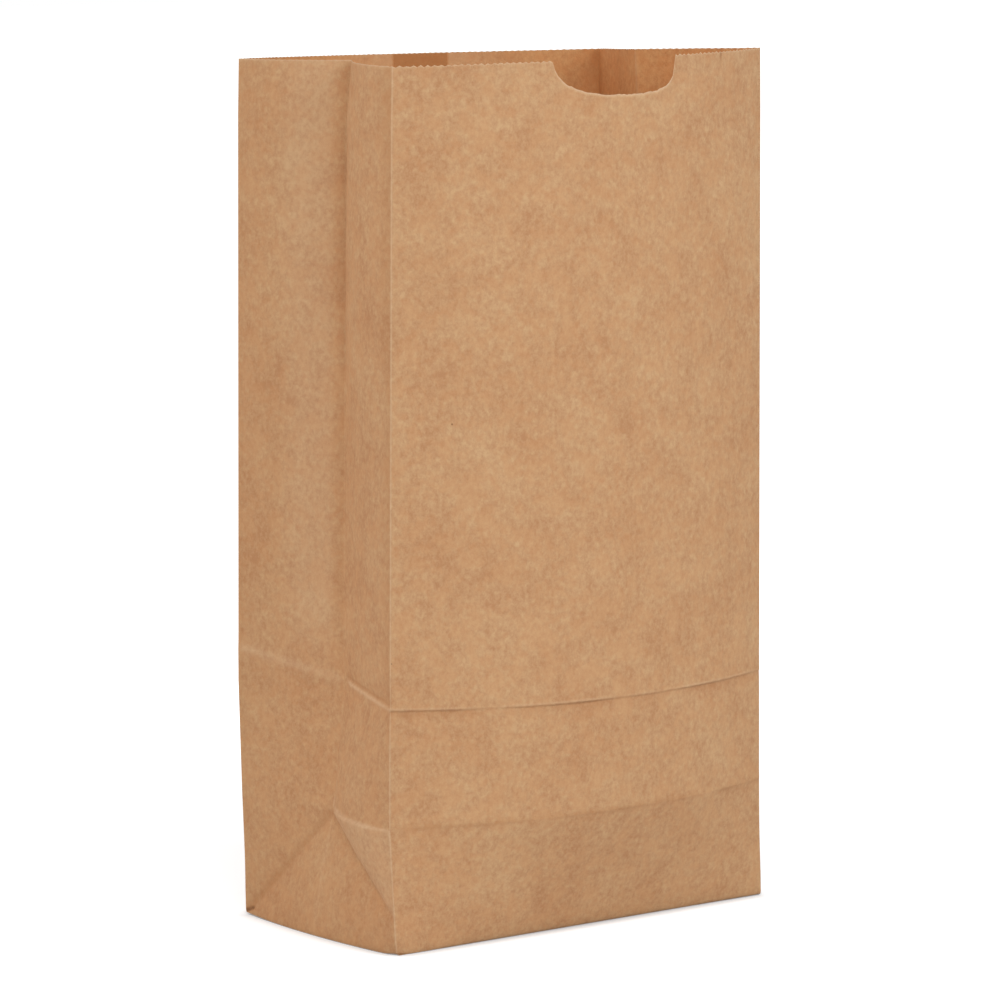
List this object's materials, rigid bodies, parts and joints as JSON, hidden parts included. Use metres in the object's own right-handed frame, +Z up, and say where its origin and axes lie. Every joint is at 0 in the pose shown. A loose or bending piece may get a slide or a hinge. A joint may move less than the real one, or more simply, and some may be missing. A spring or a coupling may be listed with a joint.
{
  "type": "brown paper lunch bag",
  "caption": "Opened square-bottom kraft paper lunch bag with folded side gussets, a pinked mouth and a thumb notch; stands and holds food.",
  "frame": {"origin": "middle of the bottom, on the face that the bag rests on", "axes": "+Z up along the bag's height, -Y towards the panel with the thumb notch, X across the panels, from gusset to gusset"},
  "size_m": [0.152, 0.1131, 0.2706],
  "materials": {
    "kraft_paper": "matt natural kraft paper"
  },
  "bodies": {
    "root": {"paper_bag": "kraft_paper"}
  },
  "joints": []
}
